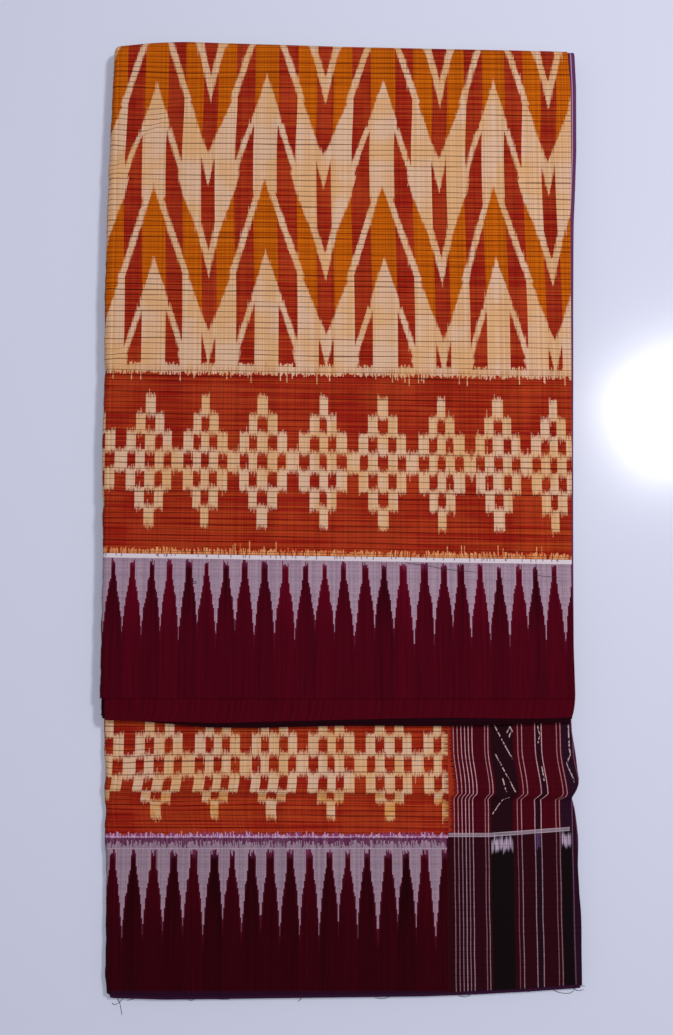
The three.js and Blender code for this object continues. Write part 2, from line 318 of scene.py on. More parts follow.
def lower_rise(x, y):
    if y > FLAP_COVERS:
        return 0
    relief = 1 - smoothstep(y, FLAP_COVERS - RELIEF_ENDS, FLAP_COVERS)
    swells = swell(x, y, 40, 0.4, 5) + swell(x, y, 15, 0.2, 6)
    return tuck_rise(x, y) + relief * max(0, ridge(LOWER_CREASES, x, y)[0] + swells)


# %% [markdown]
# ## One sheet of cloth
# A sheet starts as a flat grid. Each of its vertices is then carried to its place on the
# stack, while its own flat cloth coordinates stay behind in a UV map, in metres. The weave
# and the borders read that map, so they run round a fold as they do on real cloth. A second
# map holds the chart of the field, which no two motifs follow quite alike.


# %% Build a sheet from a grid
def make_sheet(name, across, along, place, cloth_place, chart_place=None, flip=False):
    """across and along list the parameters of the columns and the rows."""
    mesh = bmesh.new()
    maps = [(mesh.loops.layers.uv.new("cloth"), cloth_place)]
    if chart_place:
        maps.append((mesh.loops.layers.uv.new("chart"), chart_place))
    columns, rows = len(across) - 1, len(along) - 1
    bmesh.ops.create_grid(mesh, x_segments=columns, y_segments=rows, size=0.5)
    spots = {}
    for vert in mesh.verts:
        column = round((vert.co.x + 0.5) * columns)
        row = round((vert.co.y + 0.5) * rows)
        spots[vert] = (across[column], along[row])
    for vert, spot in spots.items():
        vert.co = place(*spot) * MM
    for layer, read in maps:
        found = {vert: Vector(read(*spot)) * MM for vert, spot in spots.items()}
        for face in mesh.faces:
            for loop in face.loops:
                loop[layer].uv = found[loop.vert]
    if flip:
        bmesh.ops.reverse_faces(mesh, faces=mesh.faces)
    for edge in mesh.edges:
        edge.smooth = not edge.is_boundary
    return finish_mesh(name, mesh)


def finish_mesh(name, mesh):
    data = bpy.data.meshes.new(name)
    mesh.to_mesh(data)
    mesh.free()
    data.polygons.foreach_set("use_smooth", [True] * len(data.polygons))
    piece = bpy.data.objects.new(name, data)
    bpy.context.scene.collection.objects.link(piece)
    return piece


def thicken(piece, thickness):
    wall = piece.modifiers.new("wall", "SOLIDIFY")
    wall.thickness = thickness * MM
    wall.offset = -1
    wall.use_even_offset = False


# %% [markdown]
# Round the big fold at the left the section is a half circle. A parameter across the sheet
# runs from 0 at its right end to 1 where the fold begins, to 2 where the fold ends, and on to
# 3 for the part that is tucked under.

# %% Places across a sheet
TUCKED_UNDER = 12.0  # how far a face runs on past the fold, out of sight


def section_place(share, left, right, side):
    """Gives x, depth, lift and the distance round the cloth from the packet's middle."""
    flat_end = left + EDGE_RADIUS
    near, far = (STACK, 0) if side > 0 else (0, STACK)
    if share <= 1:
        x = right + (flat_end - right) * share
        return x, near, 1, x
    if share <= 2:
        angle = pi * (share - 1)
        x = flat_end - EDGE_RADIUS * sin(angle)
        depth = EDGE_RADIUS + side * EDGE_RADIUS * cos(angle)
        return x, depth, max(0, cos(angle)), flat_end - EDGE_RADIUS * angle
    under = TUCKED_UNDER * (share - 2)
    return flat_end + under, far, 0, flat_end - EDGE_RADIUS * pi - under


def steps(*runs):
    """Joins runs of (from, to, count) into one list of parameters."""
    values = [runs[0][0]]
    for start, end, count in runs:
        values += [start + (end - start) * (i + 1) / count for i in range(count)]
    return values


# %% [markdown]
# ## The face of the flap
# The yarns of real ikat are dyed before they are woven, and no two repeats are equally wide.
# The table below gives the place of each motif across the packet, and the cloth coordinate
# stretches a little between them.

# %% Cloth coordinates
HALF_REPEAT = 42.2
FLAP_MOTIFS = [-141, -100.7, -58.9, -14.6, 28.7, 71.7, 112.8, 153]
LOWER_MOTIFS = [-131.9, -89.7, -49.5, -8.8, 32.9, 73.1]


def motif_place(x, motifs):
    first, last = motifs[0], motifs[-1]
    if x < first:
        return x - first
    if x > last:
        return (len(motifs) - 1) * HALF_REPEAT + x - last
    return float(np.interp(x, motifs, [HALF_REPEAT * i for i in range(len(motifs))]))


def pattern_slant(x, height):
    """The woven lines run down a little towards the right edge, less so at the fold."""
    share = (x + 170) / 340
    return 5.0 * share * (1 - 0.4 * smoothstep(height, 240, 480))


def flap_free_hem(along):
    """The selvedge itself is straight, so the hem's curve dies out just before it."""
    return smoothstep(along_flap(SELVEDGE) - along, 0, 22)


CREAM_PEAK = 471.4  # height above the flap's selvedge of a peak in the field
# columns: x of the motif, how far it hangs below the chart high in the field and at its foot,
# and how far it stands to the right
FIELD_DRIFT = [
    (-141, 6.2, 3.8, 0.7), (-100.7, -0.5, -5.0, 0.9), (-58.9, 0.4, -0.8, 1.7), (-14.6, 1.4, -4.0, 1.4),
    (28.7, 3.6, 2.9, 2.0), (71.7, 2.8, -0.6, 1.7), (112.8, 4.0, 2.2, 1.2), (153, 4.2, -0.8, 2.4),
]
drift_x, high_drift, foot_drift, side_drift = zip(*FIELD_DRIFT)


def flap_height(x, along):
    """Distance up the cloth from the flap's selvedge."""
    y, turn = path_place(along)
    height = along_flap(SELVEDGE) - along + stack_shift(x, along, flap_free_hem(along))
    taken = ridge(FLAP_CREASES, x, y)[1] if turn > 0 else 0
    return height + pattern_slant(x, height) + taken


def flap_section(share, along):
    return section_place(share, *path_edges(*path_place(along)), 1)


def flap_cloth_place(share, along):
    x, _, _, round_x = flap_section(share, along)
    return motif_place(round_x, FLAP_MOTIFS), flap_height(x, along)


def flap_chart_place(share, along):
    x, _, _, round_x = flap_section(share, along)
    height = flap_height(x, along)
    high = float(np.interp(x, drift_x, high_drift)) + 3.0 * smoothstep(height, 400, 450)
    foot = float(np.interp(x, drift_x, foot_drift))
    drift = foot + (high - foot) * smoothstep(height, 250, 345)
    aside = float(np.interp(x, drift_x, side_drift)) + 1.1
    aside += 1.4 * smoothstep(height, 405, 450) - 2.2 * smoothstep(height, 270, 400)
    return motif_place(round_x - aside, FLAP_MOTIFS), CREAM_PEAK - height - drift


def flap_place(share, along):
    y, turn = path_place(along)
    x, depth, lift, _ = flap_section(share, along)
    flat = max(0, sin(turn))
    rise = flap_rise(x, y) * lift * flat * flat
    return stack_point(x, along, depth + rise, flap_free_hem(along))


# %% Make the flap's sheet
fold_end = LOWER_LENGTH + FOLD_LENGTH
flap_cloth = make_sheet(
    "flap_cloth",
    steps((0, 1, 128), (1, 2, 12), (2, 3, 3)),
    steps((along_flap(SELVEDGE), fold_end, 172), (fold_end, LOWER_LENGTH, 14)),
    flap_place, flap_cloth_place, flap_chart_place, flip=True)
thicken(flap_cloth, CLOTH)
print("flap cloth:", len(flap_cloth.data.polygons), "faces, first normal",
      flap_cloth.data.polygons[0].normal)

# %% [markdown]
# ## The leaf below and the lower stretch
# The next leaf of the flap sticks out a little at the right edge and below the hem. It is a
# plain sheet at its own depth. The lower stretch is one cloth too, but its right part is the
# striped end piece, so it is made as two sheets that share the column of vertices where the
# weft changes colour. Both run on under the flap, as the real cloth does.

# %% The second leaf
LEAF_DEPTH = 8.1


def leaf_across(share, y):
    return (flap_left(y) + EDGE_RADIUS - leaf_right(y)) * share


def leaf_place(share, along):
    y, _ = path_place(along)
    x = leaf_right(y) + leaf_across(share, y)
    ripple = 0.35 * noise.noise(Vector((x / 25, y / 25, 12)))
    to_the_hem = smoothstep(along, along_flap(-120), along_flap(LEAF_HEM))
    longer = 3.2 * smoothstep(x, 55, 150) * to_the_hem
    return stack_point(x, along + longer, LEAF_DEPTH + ripple)


def leaf_cloth_place(share, along):
    y, _ = path_place(along)
    return -leaf_across(share, y), along_flap(LEAF_HEM) - along


second_leaf_cloth = make_sheet(
    "second_leaf_cloth",
    steps((0, 0.06, 8), (0.06, 1, 36)),
    steps((along_flap(LEAF_HEM), along_flap(-130), 12), (along_flap(-130), fold_end, 90),
          (fold_end, LOWER_LENGTH + FOLD_LENGTH * 0.55, 8)),
    leaf_place, leaf_cloth_place, flip=True)
thicken(second_leaf_cloth, CLOTH)
print("second leaf:", len(second_leaf_cloth.data.polygons), "faces")

# %% Rows that the lower sheets share
TUCK_TAKES = 10.0  # cloth hidden in the tuck
CLOTH_WIDTH = along_flap(SELVEDGE) + TUCK_TAKES
lower_rows = steps((0, 186, 84), (186, 240, 8), (240, LOWER_LENGTH, 42))
CURL_SHARE = 96 / 180  # how far the face goes round the left fold, where the back takes over


def lower_height(x, along):
    """Distance up the cloth from the lower hem, with what the tuck and the creases hide."""
    y = LOWER_HEM + along
    above_tuck = y - tuck_line(x)
    taken = 0.5 * smoothstep(above_tuck, -16, 9) + 0.5 * smoothstep(above_tuck, -3, 1)
    creased = ridge(LOWER_CREASES, x, y)[1] if y < FLAP_COVERS else 0
    below_tuck = smoothstep(above_tuck, -30, -12) * (1 - smoothstep(above_tuck, -3, 3))
    leaning = float(np.interp(x, [-150, -30, 60], [1.2, 0.3, -0.7])) * below_tuck
    return along + stack_shift(x, along) + TUCK_TAKES * taken + creased - leaning


def lower_motif_place(round_x, along):
    """The motifs of the two ends don't quite agree, so they drift over the hidden stretch."""
    share = smoothstep(along, 250, 520)
    first, second = motif_place(round_x, LOWER_MOTIFS), motif_place(round_x, FLAP_MOTIFS)
    return first + (second - first) * share


def lower_place(share, along):
    y = LOWER_HEM + along
    x, depth, lift, _ = section_place(share, lower_left(y), PALLU_SEAM, -1)
    return stack_point(x, along, depth - lower_rise(x, y) * lift)


def lower_cloth_place(share, along):
    y = LOWER_HEM + along
    x, _, _, round_x = section_place(share, lower_left(y), PALLU_SEAM, -1)
    above_tuck = y - tuck_line(x)
    below_tuck = smoothstep(above_tuck, -30, -12) * (1 - smoothstep(above_tuck, -6, 10))
    aside = 2.0 * below_tuck * (1 - smoothstep(x, -60, 20))
    return lower_motif_place(round_x + aside, along), lower_height(x, along)


def plain_chart(cloth_place):
    """Here the field only shows on the underside, so its chart follows the cloth."""
    def chart_place(share, along):
        u, v = cloth_place(share, along)
        return u, v + CREAM_PEAK - CLOTH_WIDTH
    return chart_place


lower_cloth = make_sheet(
    "lower_cloth", steps((0, 1, 98), (1, 1 + CURL_SHARE, 8)), lower_rows,
    lower_place, lower_cloth_place, plain_chart(lower_cloth_place), flip=True)
thicken(lower_cloth, CLOTH)
print("lower cloth:", len(lower_cloth.data.polygons), "faces")


# %% The striped end piece
def pallu_x(share, y):
    return PALLU_SEAM + (lower_right(y) - PALLU_SEAM) * share


def pallu_place(share, along):
    y = LOWER_HEM + along
    x = pallu_x(share, y)
    return stack_point(x, along, -lower_rise(x, y))


def pallu_cloth_place(share, along):
    """Above the tuck the cloth has slipped to the right, most at the free edge."""
    y = LOWER_HEM + along
    x = pallu_x(share, y)
    above_tuck = y - tuck_line(x)
    slip = smoothstep(above_tuck, -1.2, 1.2) * (1 - smoothstep(above_tuck, 4, 34))
    stretch = 1.8 * share * smoothstep(above_tuck, -1.2, 1.2)
    return x - PALLU_SEAM - slip * (2.2 + 1.6 * share) - stretch, lower_height(x, along)


pallu_cloth = make_sheet(
    "pallu_cloth", steps((0, 1, 38)), lower_rows, pallu_place, pallu_cloth_place)
thicken(pallu_cloth, CLOTH)
print("pallu cloth:", len(pallu_cloth.data.polygons), "faces")

# %% [markdown]
# ## The underside and the leaves between
# The outer cloth of the stack goes round the left fold and lies flat on the surface below. It
# takes over from the face at the same row of vertices, so no seam shows. The leaves between
# are nested folds: each one starts with a return at the right edge, runs left, turns round
# the big fold and comes back. Folding one long strip sixteen times would give the same look
# for a great deal more mesh.


# %% The back sheet
def back_section(share, along):
    y = LOWER_HEM + along
    return section_place(share, lower_left(y), lower_right(y), 1)


def back_place(share, along):
    x, depth, _, _ = back_section(share, along)
    return stack_point(x, along, depth)


def back_cloth_place(share, along):
    """Counted from the lower hem, and bent so that it meets the flap's pattern at the fold."""
    x, _, _, round_x = back_section(share, along)
    meet = (2 * fold_shift(x) + pattern_slant(x, 480)) * smoothstep(along, 350, 600)
    return lower_motif_place(round_x, along), lower_height(x, along) - meet


back_cloth = make_sheet(
    "back_cloth", steps((0, 1, 46), (1, 2 - CURL_SHARE, 7)), lower_rows,
    back_place, back_cloth_place, plain_chart(back_cloth_place))
thicken(back_cloth, CLOTH)
print("back cloth:", len(back_cloth.data.polygons), "faces, first normal",
      back_cloth.data.polygons[0].normal)

# %% The nested leaves
LEAF_CLOTH = 0.34  # thinner sheets, so that four nested folds fit between the faces
LAYER_PITCH = 0.45  # from a leaf to its own return
RETURN_LENGTH = 18.0
# columns: depth of the outer layer from the stack's outer side, right end, hem at each end
NESTED_LEAVES = [
    (1.3, 0.9, 1.0, 7.0), (2.2, -0.6, 3.0, 8.9), (3.05, 1.1, 1.8, 6.4), (3.9, 0.2, 3.8, 9.4),
]


def nested_section(share, left, right, inset):
    """A leaf's section: return, turn, run to the left, big fold, run back, turn, return."""
    if share > 2:  # the lower run mirrors the upper one
        x, depth = nested_section(3 - share, left, right, inset)
        return x, STACK - depth
    radius = EDGE_RADIUS - inset
    flat_end = left + EDGE_RADIUS
    turn_radius = LAYER_PITCH / 2
    turn_start = right - turn_radius
    if share < -1:
        return turn_start + (share + 1) * RETURN_LENGTH, STACK - inset - LAYER_PITCH
    if share < 0:
        angle = -share * pi
        depth = STACK - inset - turn_radius + turn_radius * cos(angle)
        return turn_start + turn_radius * sin(angle), depth
    if share <= 1:
        return turn_start + (flat_end - turn_start) * share, STACK - inset
    angle = pi * (share - 1)
    return flat_end - radius * sin(angle), EDGE_RADIUS + radius * cos(angle)


FLAP_CORE = 5  # how far above the second leaf's hem the hidden leaves are counted from
NESTED_COLUMNS = steps((-2, -1, 1), (-1, 0, 4), (0, 1, 9), (1, 2, 9), (2, 3, 9), (3, 4, 4), (4, 5, 1))


def make_leaf(number, inset, proud, lower_past, flap_past):
    start, end = -lower_past, along_flap(LEAF_HEM + FLAP_CORE - flap_past)

    def place(share, along):
        y, turn = path_place(along)
        left, right = path_edges(y, turn)
        wave = 0.9 * noise.noise(Vector((along / 30, number, share > 1.5)))
        x, depth = nested_section(share, left, right + proud + wave, inset)
        taper = 5.0 * (1 - smoothstep(x, -172, -70)) - 2.4 * smoothstep(x, 30, 75)
        taper *= smoothstep(along, end - 14, end)
        return stack_point(x, along - taper, depth)

    rows = steps((start, 12, 4), (12, LOWER_LENGTH, 100), (LOWER_LENGTH, fold_end, 14),
                 (fold_end, end - 8, 76), (end - 8, end, 3))
    leaf = make_sheet(
        f"stack_leaf_{number}", NESTED_COLUMNS, rows, place, lambda share, along: (share, along))
    thicken(leaf, LEAF_CLOTH)
    return leaf


stack_leaves = [make_leaf(number, *row) for number, row in enumerate(NESTED_LEAVES, 1)]
print("nested leaves:", [len(leaf.data.polygons) for leaf in stack_leaves])

# %% [markdown]
# ## Weaving with arithmetic
# The pattern is drawn by rules, so it stays sharp at any distance and needs no picture. A
# shader rule is a chain of Math nodes, which is slow to read in code. So the class below lets
# a socket be added, compared and combined like a plain number, and each line adds its nodes.


# %% Formulas that make nodes
class Wire:
    """A value in a node tree. Comparing gives 1 or 0, & takes both masks and | either."""

    def __init__(self, tree, socket):
        self.tree, self.socket = tree, socket

    def node(self, operation, *others):
        step = self.tree.nodes.new("ShaderNodeMath")
        step.operation = operation
        for entry, value in zip(step.inputs, (self, *others)):
            connect(self.tree, value, entry)
        return Wire(self.tree, step.outputs[0])

    def __add__(self, other):
        return self.node("ADD", other)

    def __sub__(self, other):
        return self.node("SUBTRACT", other)

    def __rsub__(self, other):
        return self.node("MULTIPLY_ADD", -1, other)

    def __mul__(self, other):
        return self.node("MULTIPLY", other)

    def __truediv__(self, other):
        return self.node("DIVIDE", other)

    def __lt__(self, other):
        return self.node("LESS_THAN", other)

    def __gt__(self, other):
        return self.node("GREATER_THAN", other)

    def __and__(self, other):
        return self.node("MULTIPLY", other)

    def __or__(self, other):
        return self.node("MAXIMUM", other)

    def away(self, other):
        return (self - other).node("ABSOLUTE")

    __radd__, __rmul__ = __add__, __mul__


def connect(tree, value, entry):
    if isinstance(value, Wire):
        tree.links.new(value.socket, entry)
    elif isinstance(value, tuple):
        entry.default_value = (*value, 1) if len(entry.default_value) == 4 else value
    else:
        entry.default_value = value


def between(value, low, high):
    return (value > low) & (value < high)


def fade(value, start, end):
    """0 before start and 1 past end, smooth between; start may be the larger."""
    ramp = value.tree.nodes.new("ShaderNodeMapRange")
    ramp.interpolation_type = "SMOOTHSTEP"
    for name, part in (("Value", value), ("From Min", start), ("From Max", end)):
        connect(value.tree, part, ramp.inputs[name])
    return Wire(value.tree, ramp.outputs["Result"])


def mix(share, first, second):
    node = share.tree.nodes.new("ShaderNodeMix")
    node.data_type = "RGBA"
    for entry, value in ((0, share), (6, first), (7, second)):
        connect(share.tree, value, node.inputs[entry])
    return Wire(share.tree, node.outputs[2])


def shade(colour, factor):
    """Darkens a colour by one number, or each of its channels by its own."""
    node = colour.tree.nodes.new("ShaderNodeVectorMath")
    node.operation = "MULTIPLY" if isinstance(factor, tuple) else "SCALE"
    connect(colour.tree, colour, node.inputs[0])
    connect(colour.tree, factor, node.inputs[1 if isinstance(factor, tuple) else "Scale"])
    return Wire(colour.tree, node.outputs[0])


def chance(number):
    """A steady random value from 0 to 1 for each whole number."""
    node = number.tree.nodes.new("ShaderNodeTexWhiteNoise")
    node.noise_dimensions = "1D"
    connect(number.tree, number, node.inputs["W"])
    return Wire(number.tree, node.outputs["Value"])


def cloud(across, along, detail=2.0):
    """Smooth noise from 0 to 1 over two coordinates."""
    tree = across.tree
    join = tree.nodes.new("ShaderNodeCombineXYZ")
    connect(tree, across, join.inputs[0])
    connect(tree, along, join.inputs[1])
    node = tree.nodes.new("ShaderNodeTexNoise")
    node.noise_dimensions = "2D"
    node.inputs["Scale"].default_value = 1
    node.inputs["Detail"].default_value = detail
    tree.links.new(join.outputs[0], node.inputs["Vector"])
    return Wire(tree, node.outputs[0])


def dye(red, green, blue):
    """A colour as a paint chart gives it, 0 to 255, turned into the light that it reflects."""
    return tuple((c / 255 / 12.92) if c < 11 else ((c / 255 + 0.055) / 1.055) ** 2.4
                 for c in (red, green, blue))


# %% Make and use a node group
def new_group(name, inputs, outputs):
    """inputs and outputs are names; an output that ends in Colour is a colour."""
    tree = bpy.data.node_groups.new(name, "ShaderNodeTree")
    for entry in inputs:
        tree.interface.new_socket(entry, in_out="INPUT", socket_type="NodeSocketFloat")
    for exit_name in outputs:
        kind = "NodeSocketColor" if exit_name.endswith("Colour") else "NodeSocketFloat"
        tree.interface.new_socket(exit_name, in_out="OUTPUT", socket_type=kind)
    start = tree.nodes.new("NodeGroupInput")
    end = tree.nodes.new("NodeGroupOutput")
    return tree, [Wire(tree, start.outputs[entry]) for entry in inputs], end


def put_out(tree, end, **wires):
    for exit_name, wire in wires.items():
        connect(tree, wire, end.inputs[exit_name.replace("_", " ")])


def use_group(name, tree, **values):
    node = tree.nodes.new("ShaderNodeGroup")
    node.node_tree = bpy.data.node_groups[name]
    for entry, value in values.items():
        connect(tree, value, node.inputs[entry.replace("_", " ")])
    found = [Wire(tree, exit_socket) for exit_socket in node.outputs]
    return found if len(found) > 1 else found[0]


# %% [markdown]
# ## Yarns
# In weft ikat the bundled yarns are tied and dyed first. In the loom each yarn then lands a
# little high or low, and that gives the feathered ends of every motif. The group below gives
# each yarn its own shift, and reads the chart at the yarn's own middle, so slanted edges
# become small steps.

# %% The shift of each yarn
YARN = 0.75
BUNDLE = 2.3

yarn_tree, (u,), end = new_group("ikat_yarns", ["U"], ["Yarn U", "Shift", "Tone"])
yarn = (u / YARN).node("FLOOR")
bundle = (u / BUNDLE).node("FLOOR")
long_end = (chance(yarn + 0.37) > 0.8) * ((chance(yarn + 0.61) - 0.5) * 8.0)
shift = (chance(yarn) - 0.5) * 5.2 + (chance(bundle + 0.5) - 0.5) * 1.6 + long_end
put_out(yarn_tree, end, Yarn_U=(yarn + 0.5) * YARN, Shift=shift, Tone=chance(yarn + 0.83))
print("yarns:", round(340 / YARN), "across the packet")

# %% [markdown]
# The warp runs across the photograph. Every few millimetres one end is a dark thread, which
# draws the thin lines over the field and, closer together, over the lattice. The weave group
# gives the small bumps where yarns cross, and a mottle for the grey parts, where pale and
# dark yarns alternate.

# %% Warp lines and weave
weave_tree, (u, v, pitch), end = new_group(
    "warp_and_weave", ["U", "V", "Pitch"], ["Line", "Height", "Mottle"])
wander = cloud(u * 0.012, v * 0.3, detail=1.0) - 0.5
place = (v + wander * 1.8) / pitch
number = place.node("ROUND")
from_line = place.away(number)
thick = 0.14 + 0.2 * cloud(u * 0.04, number * 3.7, detail=1.0)
line = fade(from_line * pitch, thick + 0.2, thick) * (0.7 + 0.3 * chance(number))
faintness = 0.3 * cloud(u * 0.02, number * 2.3, detail=1.0)
faint_line = fade((0.5 - from_line) * pitch, 0.35, 0.1) * faintness
weft = (u * (pi / 0.45)).node("SINE")
warp = (v * (pi / 0.5)).node("SINE")
height = (weft * warp).node("ABSOLUTE")
pick, end_yarn = chance((u / 0.75).node("FLOOR")), chance((v / 0.9).node("FLOOR") + 0.5)
mottle = pick * 0.3 + end_yarn * 0.25 + 0.45 * cloud(u * 0.6, v * 0.9, detail=3.0)
put_out(weave_tree, end, Line=line | faint_line, Height=height, Mottle=mottle)

# %% [markdown]
# ## The chevron field
# The field is one motif, mirrored about its middle line and repeated every 84.4 mm across and
# 141 mm along. A reader of the cloth would chart it as an arrow head, a column below it,
# slanted branches, a wide stem and the forked tips in the valleys. Each is a pair of straight
# edges here, so the chart is a dozen short lines.

# %% Chart of the field
FIELD_PERIOD = 141.0
field_tree, (off, fall), end = new_group("chevron_field", ["Off", "Fall"], ["Cream", "Ochre"])
late = fall + FIELD_PERIOD * (fall < 60)
again = fall + FIELD_PERIOD
arrow = (off < fall * 0.306) & (off < 10.7) & (fall < 40)
column = (off < 8.7) & between(fall, 36, 96) & (off > (fall - 86) * 0.306)
branch_middle = (fall - 41.6) * 0.30 + 10.9
branch = between(fall, 40, 79) & (off.away(branch_middle) < 2.0)
stem_middle = (late - 94.2) * 0.315 + 4.4
stem = between(late, 88, 160) & (off.away(stem_middle) < 2.3) & (off > (late - 86) * 0.306)
wide_top = (off - 22.6) * 3.0 + 9.4
wide_low = ((off - 22.6) * 2.7 + 95.8) | ((off - 33.2) * 4.46 + 124)
wide = between(off, 21.8, 36.8) & between(fall, wide_top, wide_low)
inner = between(off, 17.0, 22.6) & between(fall, 79, (off - 22.6) * 4.0 + 95.8)
tail = between(off, 33.2, 36.8) & (again < wide_low)
fork_top, fork_low = (off - 36.4) * 2.43 + 51.8, (off - 36.4) * 4.59 + 65.9
tip_top, tip_low = (off - 37.1) * 3.99 + 121.7, (off - 36.4) * 4.53 + 137.4
tips = between(fall, tip_top, tip_low) | between(again, tip_top, tip_low)
valley = (off > 36.6) & (between(fall, fork_top, fork_low) | tips)
cream = arrow | column | branch | stem | wide | inner | tail | valley
put_out(field_tree, end, Cream=cream, Ochre=(off < 8.9) | between(off, 22.6, 36.4))
print("field chart:", len(field_tree.nodes), "nodes")

# %% [markdown]
# ## The lattice and the temple border
# The lattice is a chequer cut to stepped diamonds: a cell is cream where its row and column
# add up to an odd number of at most three. The middle column is wider in every other diamond.
# Temple spikes are the woven joint between two wefts. Each maroon spike starts blunt under the
# pale line, keeps its width for about a centimetre and then widens in steps of one yarn. The
# pale teeth are what is left between them, so they draw out into needles.

# %% Chart of the lattice
ROW_PITCH = 13.5
CELL_OVERLAP = 0.08  # of a row: cream cells reach a little over their neighbours
CELL_SPREAD = 0.1
lattice_tree, (u, rise), end = new_group("stepped_lattice", ["U", "Rise"], ["Cream"])
off = u.node("PINGPONG", HALF_REPEAT / 2)
narrow = u.node("PINGPONG", HALF_REPEAT) > HALF_REPEAT / 2
first_edge, second_edge, third_edge = 3.75 - narrow * 0.9, 10.2 - narrow * 0.9, 16.7
row_place = rise.node("ABSOLUTE") / ROW_PITCH
row = row_place.node("ROUND")
past_row = row_place - row
next_row = row + past_row.node("SIGN")
near_next = past_row.node("ABSOLUTE") > 0.5 - CELL_OVERLAP


def cream_cell(row, column):
    total = row + column
    return (total.node("MODULO", 2) > 0.5) & (total < 3.5)


cream = u * 0
for spread in (-CELL_SPREAD, CELL_SPREAD):
    at = off + spread
    column = (at > first_edge) + (at > second_edge) + (at > third_edge)
    cream = cream | cream_cell(row, column) | (cream_cell(next_row, column) & near_next)
put_out(lattice_tree, end, Cream=cream)

# %% Chart of the temple border
TOOTH_PITCH = 13.8
BLUNT_HALF = 2.15  # half the width of a spike's blunt top
WIDENS_PAST, WIDENS_BY = 12.6, 0.157  # past this drop it widens by so much for each mm
NEEDLES_PAST, NEEDLE_HALF, NEEDLE_BY = 37, 5.75, 0.09  # and more slowly beside the needles
teeth_tree, (u, place, drop, wider), end = new_group(
    "temple_teeth", ["U", "Place", "Drop", "Wider"], ["Pale", "Rim", "Tone"])
spike = place.node("FLOOR")
lean = (chance(spike + 0.2) - 0.5) * 0.1
yarn_number = (u / YARN).node("FLOOR")
from_yarn = (yarn_number + 0.5) * YARN - u
off = ((place - spike - 0.5 + lean) * TOOTH_PITCH + from_yarn).node("ABSOLUTE")
yarn = chance(yarn_number + 0.21)
broad = (chance(spike + 0.57) - 0.5) * 1.3
yarn_drop = drop + (yarn - 0.6) * 4.0
widening = (yarn_drop - WIDENS_PAST) * WIDENS_BY + BLUNT_HALF + broad * 0.6 + wider
beside_needle = (yarn_drop - NEEDLES_PAST) * NEEDLE_BY + NEEDLE_HALF + wider * 0.2
width = (widening | (BLUNT_HALF + broad + wider * 0.8)).node("MINIMUM", beside_needle)
tip_start = yarn * yarn * 4.4 + chance(spike + 0.9) * 0.8
spiked = (off < width) & (drop > tip_start)
spike_tone = chance(spike + 0.4) * 0.5 + spike.node("PINGPONG", 1) * 0.5
put_out(teeth_tree, end, Pale=1 - spiked, Rim=fade(off.away(width), 1.3, 0.3), Tone=spike_tone)
print("lattice:", len(lattice_tree.nodes), "nodes, teeth:", len(teeth_tree.nodes), "nodes")

# %% [markdown]
# ## Body cloth
# One group puts the stretches together, from the selvedge upwards: plain maroon, spikes, a
# pale line, a ragged band, the lattice, another ragged band and the field. Both borders of
# the saree use it. They differ in a few heights, which are the group's inputs, and the lower
# one has a lilac and purple band where the upper one is cream.

# %% Colours of the yarns
# The third cream is no yarn colour: it is painted shade, the gold tint that the cream takes along the
# tuck.
CREAM_TAN, CREAM_PINK, CREAM_TUCK_SHADE = dye(208, 160, 114), dye(208, 170, 142), dye(200, 128, 36)
OCHRE, DEEP_OCHRE = dye(190, 94, 10), dye(166, 74, 4)
RUST, DEEP_RUST = dye(158, 50, 24), dye(138, 24, 15)
MAROON_DARK, MAROON_BRIGHT = dye(44, 1, 10), dye(86, 2, 22)
PALE_LINE, PALE_LINE_DARK = dye(208, 197, 205), dye(196, 184, 193)
TOOTH_PALE, TOOTH_DARK, TOOTH_RIM = dye(159, 135, 150), dye(134, 112, 129), dye(170, 124, 142)
LILAC, LILAC_DARK, PURPLE = dye(176, 134, 166), dye(128, 62, 104), dye(84, 20, 62)
WARP_THREAD = (0.22, 0.14, 0.12)  # how much light a dark warp thread leaves

# %% The body cloth group
SEAM_PLACE = motif_place(PALLU_SEAM, LOWER_MOTIFS)
BODY_INPUTS = ["U", "V", "Chart U", "Fall", "Tooth", "Line", "Lattice", "Field", "Lower"]
body_tree, sockets, end = new_group("body_cloth", BODY_INPUTS, ["Colour", "Height"])
u, v, chart_u, fall, tooth_place, line_foot, lattice_height, field_height, lower = sockets
yarn_u, shift, tone = use_group("ikat_yarns", body_tree, U=u)
chart_yarn_u, _, _ = use_group("ikat_yarns", body_tree, U=chart_u)
stain = cloud(u * 0.03, v * 0.03, detail=3.0)
yarn_chance = chance((u / YARN).node("FLOOR") + 0.13)
other_chance = chance((u / YARN).node("FLOOR") + 0.57)


def ikat_cream(reach):
    """The cream mask with each yarn shifted by reach times its own shift."""
    ragged = v + shift * reach
    in_lattice = use_group("stepped_lattice", body_tree, U=yarn_u - 0.6, Rise=ragged - lattice_height)
    off = chart_yarn_u.node("PINGPONG", HALF_REPEAT)
    period_fall = (fall - shift * reach).node("FLOORED_MODULO", FIELD_PERIOD)
    in_chevrons, ochre = use_group("chevron_field", body_tree, Off=off, Fall=period_fall)
    in_field = v > field_height
    return (in_field & in_chevrons) | ((1 - in_field) & in_lattice), in_field & ochre


full_cream, ochre = ikat_cream(1.0)
near_cream, _ = ikat_cream(0.3)
back_cream, _ = ikat_cream(-0.6)
cream_mask = full_cream * 0.5 + near_cream * 0.3 + back_cream * 0.2
band_foot = field_height - 3.0 - yarn_chance * 3.2 - (other_chance > 0.84) * yarn_chance * 6
band_head = field_height + 0.6 + other_chance * 3.4
cream_mask = cream_mask | (between(v, band_foot, band_head) * (0.75 + 0.25 * tone))
